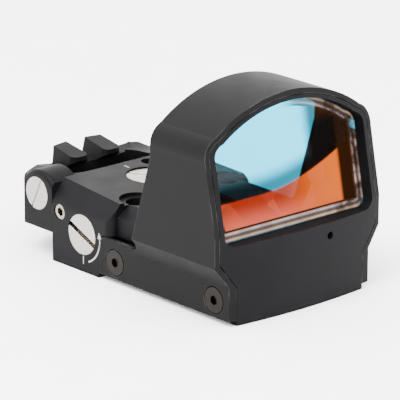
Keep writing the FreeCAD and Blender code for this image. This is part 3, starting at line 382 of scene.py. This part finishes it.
def arc_through(start, via, end, steps):
    """Points of the circle through three points, from the first to the last."""
    (ax, az), (bx, bz), (cx, cz) = start, via, end
    divisor = 2 * (ax * (bz - cz) + bx * (cz - az) + cx * (az - bz))
    a_far, b_far, c_far = (x * x + z * z for x, z in (start, via, end))
    middle_x = (a_far * (bz - cz) + b_far * (cz - az) + c_far * (az - bz)) / divisor
    middle_z = (a_far * (cx - bx) + b_far * (ax - cx) + c_far * (bx - ax)) / divisor
    radius = math.hypot(ax - middle_x, az - middle_z)
    first = math.atan2(az - middle_z, ax - middle_x)
    last = math.atan2(cz - middle_z, cx - middle_x)
    sweep = (last - first + math.pi) % (2 * math.pi) - math.pi
    angles = [first + sweep * step / steps for step in range(steps + 1)]
    return [(middle_x + radius * math.cos(angle), middle_z + radius * math.sin(angle))
            for angle in angles]


def lens_outline():
    """The whole border, from the right end of the foot round to its left end."""
    right = arc_through(*FOOT_CORNER, CORNER_STEPS) + arc_through(*TOP_CORNER, CORNER_STEPS)
    left = [(-x, z) for x, z in reversed(right)]
    return right + arc_through(right[-1], ARCH_TOP, left[0], ARCH_STEPS)[1:-1] + left


print("border of", len(lens_outline()), "points")

# %% [markdown]
# The coating that returns the dot is a stack of thin layers on the glass, which could be laid down as
# vapour. It sends red and orange back and lets cyan through. Here it is a face of its own just before
# the raked front of the objective, so that the glass itself stays a plain transmitting slab. The face
# is inset in rings near its border, and an attribute counts them, for the painted reflections along the
# glass edge.

# %% Coating film
LENS_FRONT_Y = -23.95
LENS_FOOT_Z = 10.0
RAKE = 0.2
FILM_GAP = 0.012
RING_WIDTHS = (0.3, 0.34, 0.36, 0.36, 0.34)


def on_lens(x, z):
    """A point on the objective's front face, given as seen from the front."""
    return Vector((x, LENS_FRONT_Y - FILM_GAP + RAKE * (z - LENS_FOOT_Z), z)) * MM


def inset_rings(mesh, face, widths):
    """Inset the face once for each width. The band attribute runs from 0 outside to 1 inside."""
    band = mesh.verts.layers.float.new("band")
    mesh.normal_update()
    for ring, width in enumerate(widths, start=1):
        before = set(mesh.verts)
        bmesh.ops.inset_region(mesh, faces=[face], thickness=width * MM, use_even_offset=True,
                               use_boundary=True)
        for vert in set(mesh.verts) - before:
            vert[band] = (ring - 1) / len(widths)
        for vert in face.verts:
            vert[band] = ring / len(widths)


film_mesh = bmesh.new()
film_face = film_mesh.faces.new([film_mesh.verts.new(on_lens(x, z)) for x, z in lens_outline()])
inset_rings(film_mesh, film_face, RING_WIDTHS)
if film_face.normal.y > 0:
    bmesh.ops.reverse_faces(film_mesh, faces=list(film_mesh.faces))
print("film", len(film_mesh.verts), "points in", len(RING_WIDTHS), "rings")
film_data = bpy.data.meshes.new("lens_coating")
film_mesh.to_mesh(film_data)
film_mesh.free()
coating = bpy.data.objects.new("lens_coating", film_data)
bpy.context.scene.collection.objects.link(coating)
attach(coating, "root")

# %% [markdown]
# The film carries a painted reflection of what stands before it: salmon at the lower left, orange red in
# the middle, amber at the right, in flat patches like a reflected room. It covers the lower half up to a
# slanting border, with a dark band of painted reflection above that, a brown veil of painted reflection
# at the upper right, and a strip of painted shade at the right where the dark wall of the hood shows. On
# the real glass these move with the viewer. Here they are fixed masks over the sight's own axes, in
# millimetres.

# %% Colours and masks of the painted reflection on the coating
# Painted reflection of the room in front, in warm patches.
SALMON = (0.25, 0.045, 0.028, 1)
ORANGE_RED = (0.085, 0.005, 0.001, 1)
AMBER = (0.22, 0.04, 0.0006, 1)
PATCH = (0.24, 0.045, 0.02, 1)
PATCH_SCALE = 230.0
# Painted reflection: the dark band above the border and the brown veil at the upper right.
DARK_PAINTED_REFLECTION = (0.0018, 0.0009, 0.0006, 1)
AMBER_PAINTED_REFLECTION = (0.02, 0.007, 0.0006, 1)
# Painted shade where the dark wall of the hood shows at the right.
SIDE_WALL_PAINTED_SHADE = (0.007, 0.0025, 0.0008, 1)
BORDER_Z, BORDER_X, BORDER_RISE, BORDER_POWER = 17.6, -6.0, 0.0185, 1.9
METRES_TO_MM = 1000.0

# The film's colour is painted reflection, with painted shade at the right.
film, tree, shader, spot = new_material("coating_painted_reflection", Roughness=0.4, Metallic=0.0,
                                        Specular_IOR_Level=0.0)
axes = add_node(tree, "ShaderNodeSeparateXYZ", {"Vector": spot}).outputs
across = math_node(tree, "MULTIPLY", axes["X"], METRES_TO_MM)
up = math_node(tree, "MULTIPLY", axes["Z"], METRES_TO_MM)
facets = add_node(tree, "ShaderNodeTexVoronoi", {"Vector": spot, "Scale": PATCH_SCALE})
facet = add_node(tree, "ShaderNodeSeparateColor", {"Color": facets.outputs["Color"]}).outputs[0]
left_reflection = blend_colours(tree, ramp(tree, up, 12.6, 17.0), SALMON, ORANGE_RED)
warm_reflection = blend_colours(tree, ramp(tree, across, -3.0, 10.0), left_reflection, AMBER)
patched = blend_colours(tree, math_node(tree, "MULTIPLY", facet, 0.5), warm_reflection, PATCH)

beyond = math_node(tree, "MAXIMUM", math_node(tree, "SUBTRACT", across, BORDER_X), 0.0)
rise = math_node(tree, "MULTIPLY", math_node(tree, "POWER", beyond, BORDER_POWER), BORDER_RISE)
border = math_node(tree, "ADD", rise, BORDER_Z)
above = math_node(tree, "SUBTRACT", up, border)
covered = ramp(tree, math_node(tree, "SUBTRACT", border, up), -0.12, 0.25)
dark_painted_band = math_node(tree, "MULTIPLY", ramp(tree, above, 3.6, 0.9), 0.82)
right_painted_veil = math_node(tree, "MULTIPLY", ramp(tree, across, 3.5, 6.0), 0.85)
painted_veil = blend_colours(tree, ramp(tree, up, 25.0, 29.0), DARK_PAINTED_REFLECTION, AMBER_PAINTED_REFLECTION)
open_colour = blend_colours(tree, ramp(tree, across, 9.9, 10.7),
                            blend_colours(tree, covered, painted_veil, patched), SIDE_WALL_PAINTED_SHADE)
open_cover = math_node(tree, "MAXIMUM", math_node(tree, "MULTIPLY", covered, 0.975),
                       math_node(tree, "MAXIMUM", dark_painted_band, right_painted_veil))
print("coating masks", len(tree.nodes), "nodes")

# %% [markdown]
# The edge of the slab is ground and polished, and its painted reflections show as thin stripes of cream,
# amber and blue along the foot and the right side. A colour ramp over the rings draws them, and noise
# lays patches of painted shade over them, most of all at the right, where they are seen against the dark
# wall of the hood.

# %% Painted reflections of the glass edge
# Painted reflections of the polished edge, placed over the rings.
EDGE_REFLECTION_COLOURS = ((0.0, (0.003, 0.002, 0.002)), (0.2, (0.24, 0.19, 0.15)), (0.38, (0.07, 0.03, 0.008)),
                  (0.52, (0.02, 0.035, 0.06)), (0.7, (0.26, 0.18, 0.15)), (0.86, (0.005, 0.003, 0.003)),
                  (1.0, (0.05, 0.015, 0.005)))
# Painted shade laid in patches over the edge reflections.
EDGE_SHADE = (0.010, 0.004, 0.002, 1)
EDGE_SHADE_SCALE = 420.0

ring_place = add_node(tree, "ShaderNodeAttribute", attribute_name="band").outputs["Fac"]
edge_reflections = add_node(tree, "ShaderNodeValToRGB", {"Fac": ring_place})
for reflection_place, _ in EDGE_REFLECTION_COLOURS[1:-1]:
    edge_reflections.color_ramp.elements.new(reflection_place)
for element, (reflection_place, colour) in zip(edge_reflections.color_ramp.elements, EDGE_REFLECTION_COLOURS):
    element.position = reflection_place
    element.color = (*colour, 1)
sides_shown = math_node(tree, "MAXIMUM", ramp(tree, across, 0.0, 4.0), ramp(tree, up, 15.0, 13.6))
outside = math_node(tree, "SUBTRACT", 1.0, ramp(tree, ring_place, 0.97, 0.995))
edged = math_node(tree, "MULTIPLY", outside, sides_shown)
patchy_shade = ramp(tree, noise(tree, spot, EDGE_SHADE_SCALE, 3.0, 0.6), 0.36, 0.62, 0.25, 0.95)
edge_shaded = math_node(tree, "MULTIPLY", patchy_shade, ramp(tree, across, 4.0, 12.0, 0.35, 1.0))
edge_reflection_colour = blend_colours(tree, edge_shaded, edge_reflections.outputs["Color"], EDGE_SHADE)
tree.links.new(blend_colours(tree, edged, open_colour, edge_reflection_colour), shader.inputs["Base Color"])
tree.links.new(math_node(tree, "MAXIMUM", open_cover, math_node(tree, "MULTIPLY", edged, 0.85)),
               shader.inputs["Alpha"])
coating.data.materials.append(film)
print("coating material", len(tree.nodes), "nodes")

# %% [markdown]
# White marks on the windage side and the deck: an arc with an arrow head about the screw, and an index
# tick for each adjuster. They could be engraved and filled. Here they are prints 0.01 mm thick, each a
# flat outline extruded off the surface. The arrow stands for whatever direction mark a maker uses.

# %% Painted marks
PAINT = moulded("mark_paint", (0.16, 0.155, 0.155), (0.24, 0.235, 0.235), (0.5, 0.62))
PRINT_THICKNESS = 0.01
SIDE_X = -13.75
ARC_CENTRE = (7.8, 5.8)
ARC_RADIUS = 4.2
ARC_START, ARC_END = math.radians(176), math.radians(248)
STROKE = 0.13
ARC_STEPS = 20
HEAD_HALF, HEAD_ANGLE = 0.5, 0.24
DECK_FOOT_Y, DECK_FOOT_Z, DECK_SLOPE = -19.6, 10.6, 2.12 / 35.6


def printed(name, outlines, place_point, outwards):
    """Flat outlines laid on a surface and thickened outwards, as one piece."""
    mesh = bmesh.new()
    for corners in outlines:
        mesh.faces.new([mesh.verts.new(place_point(*corner)) for corner in corners])
    bmesh.ops.recalc_face_normals(mesh, faces=list(mesh.faces))
    grown = bmesh.ops.extrude_face_region(mesh, geom=list(mesh.faces), use_keep_orig=True)
    moved = [item for item in grown["geom"] if isinstance(item, bmesh.types.BMVert)]
    bmesh.ops.translate(mesh, verts=moved, vec=Vector(outwards) * PRINT_THICKNESS * MM)
    bmesh.ops.recalc_face_normals(mesh, faces=list(mesh.faces))
    data = bpy.data.meshes.new(name)
    mesh.to_mesh(data)
    print(name, len(mesh.faces), "faces")
    mesh.free()
    piece = bpy.data.objects.new(name, data)
    bpy.context.scene.collection.objects.link(piece)
    piece.data.materials.append(PAINT)
    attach(piece, "root")


def around(radius, angle):
    return ARC_CENTRE[0] + radius * math.cos(angle), ARC_CENTRE[1] + radius * math.sin(angle)


def on_side(y, z):
    return Vector((SIDE_X, y, z)) * MM


def on_deck(x, y):
    return Vector((x, y, DECK_FOOT_Z + DECK_SLOPE * (y - DECK_FOOT_Y))) * MM


arc_angles = [ARC_START + (ARC_END - ARC_START) * i / ARC_STEPS for i in range(ARC_STEPS + 1)]
arc_outline = [around(ARC_RADIUS + STROKE, angle) for angle in arc_angles]
arc_outline += [around(ARC_RADIUS - STROKE, angle) for angle in reversed(arc_angles)]
head_outline = [around(ARC_RADIUS + HEAD_HALF, ARC_START), around(ARC_RADIUS, ARC_START - HEAD_ANGLE),
                around(ARC_RADIUS - HEAD_HALF, ARC_START)]
tick_outline = [(7.36, 1.3), (7.54, 1.3), (7.54, 2.55), (7.36, 2.55)]
printed("windage_marks", [arc_outline, head_outline, tick_outline], on_side, (-1, 0, 0))
deck_tick = [(-0.6, 12.5), (-0.4, 12.5), (-0.4, 13.6), (-0.6, 13.6)]
printed("elevation_mark", [deck_tick], on_deck, (0, 0, 1))

# %% [markdown]
# The studio is a pale floor under a white sky, with a large soft light above and to the left of the
# camera and a weak one at the right. A white sky keeps the glass bright where nothing stands behind it.

# %% Floor, sky and lights
FLOOR_HALF = 4.0
FLOOR_GAP = 0.00002
SKY_STRENGTH = 5.0

floor_mesh = bmesh.new()
bmesh.ops.create_grid(floor_mesh, x_segments=1, y_segments=1, size=FLOOR_HALF)
floor_data = bpy.data.meshes.new("floor")
floor_mesh.to_mesh(floor_data)
floor_mesh.free()
floor = bpy.data.objects.new("floor", floor_data)
floor.data.transform(Matrix.Translation((0, 0, cad_low.z - FLOOR_GAP)))
bpy.context.scene.collection.objects.link(floor)
floor.data.materials.append(moulded("pale_floor", (0.90, 0.90, 0.90), (0.93, 0.93, 0.93), (0.8, 0.9),
                                    0.0, 40.0, 0.0))

world = bpy.data.worlds.new("studio")
world.use_nodes = True
sky = world.node_tree.nodes["Background"]
sky.inputs["Color"].default_value = (1, 1, 1, 1)
sky.inputs["Strength"].default_value = SKY_STRENGTH
bpy.context.scene.world = world


def area_light(name, place, target, size, power):
    light = bpy.data.lights.new(name, "AREA")
    light.shape = "SQUARE"
    light.size = size
    light.energy = power
    holder = bpy.data.objects.new(name, light)
    holder.location = place
    holder.rotation_euler = (Vector(target) - Vector(place)).to_track_quat("-Z", "Y").to_euler()
    bpy.context.scene.collection.objects.link(holder)


area_light("key", (-0.25, -0.05, 0.5), (0, 0, 0.01), 0.35, 9.0)
area_light("fill", (0.3, -0.4, 0.25), (0, 0, 0.015), 0.3, 1.5)
print("lights ready")

# %% [markdown]
# The sight is seen through a long lens from the front left and a little above, which keeps its edges
# nearly parallel. The camera's place and the point it looks at are given in millimetres in the sight's
# own frame, and it is turned a sixth of a degree about its own axis.

# %% Camera
CAMERA_PLACE = Vector((-301.50, -345.00, 155.78)) * MM
CAMERA_TARGET = Vector((2.881, 0.0, 9.632)) * MM
CAMERA_ROLL = math.radians(0.1617)
SENSOR_WIDTH = 36.0
LENS_LENGTH = 288.9
camera_data = bpy.data.cameras.new("camera")
camera_data.sensor_width = SENSOR_WIDTH
camera_data.lens = LENS_LENGTH
camera_data.clip_start = 0.01
camera_data.clip_end = 20
camera = bpy.data.objects.new("camera", camera_data)
facing = (CAMERA_TARGET - CAMERA_PLACE).to_track_quat("-Z", "Y").to_matrix().to_4x4()
roll = Matrix.Rotation(CAMERA_ROLL, 4, "Z")
camera.matrix_world = Matrix.Translation(CAMERA_PLACE) @ facing @ roll
bpy.context.scene.collection.objects.link(camera)
bpy.context.scene.camera = camera
print("lens", round(camera_data.lens, 1), "mm")
